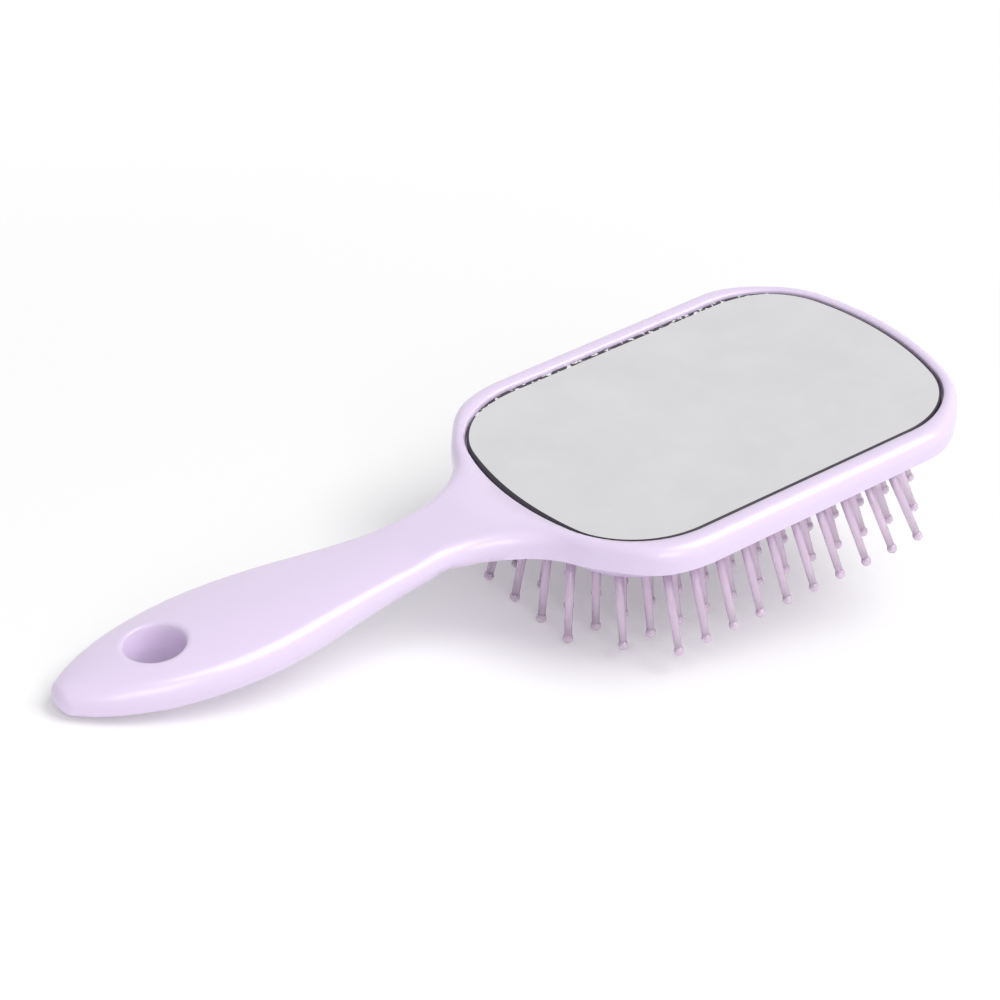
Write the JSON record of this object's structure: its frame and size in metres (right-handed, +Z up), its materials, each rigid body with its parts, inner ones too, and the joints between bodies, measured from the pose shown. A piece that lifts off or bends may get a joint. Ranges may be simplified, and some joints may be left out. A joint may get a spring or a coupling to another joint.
{
  "type": "paddle hair brush with mirror",
  "caption": "Paddle hair brush with a mirror set in the back of its head, ball-tipped pins on a sprung air cushion, and a hanging hole in its shaped handle.",
  "frame": {"origin": "middle of the box round the brush, at the floor it lies on", "axes": "+X from the handle's tail to the head's toe, +Y across the head, +Z up; the brush lies on its tail and heel pins, so its mirror leans back"},
  "size_m": [0.2156, 0.081, 0.0559],
  "materials": {
    "body_plastic": "satin",
    "mirror": "polished",
    "tape": "matte",
    "cushion_rubber": "matte",
    "pin_plastic": "gloss"
  },
  "bodies": {
    "brush": {"brush_body": "body_plastic", "mirror_plate": "mirror", "mirror_tape": "tape", "cushion_pad": "cushion_rubber"},
    "pins": {"pin_row_01": "pin_plastic", "pin_row_02": "pin_plastic", "pin_row_03": "pin_plastic", "pin_row_04": "pin_plastic", "pin_row_05": "pin_plastic", "pin_row_06": "pin_plastic", "pin_row_07": "pin_plastic", "pin_row_08": "pin_plastic", "pin_row_09": "pin_plastic", "pin_row_10": "pin_plastic", "pin_row_11": "pin_plastic", "pin_row_12": "pin_plastic", "pin_row_13": "pin_plastic", "pin_row_14": "pin_plastic"}
  },
  "joints": [
    {"name": "pin_field_sink", "type": "slide", "parent": "brush", "child": "pins", "axis": [-0.238, 0, 0.9713], "range_m": [0, 0.003], "stiffness_N_per_m": 300, "springref_m": -0.01, "deforming": ["cushion_pad"]}
  ]
}
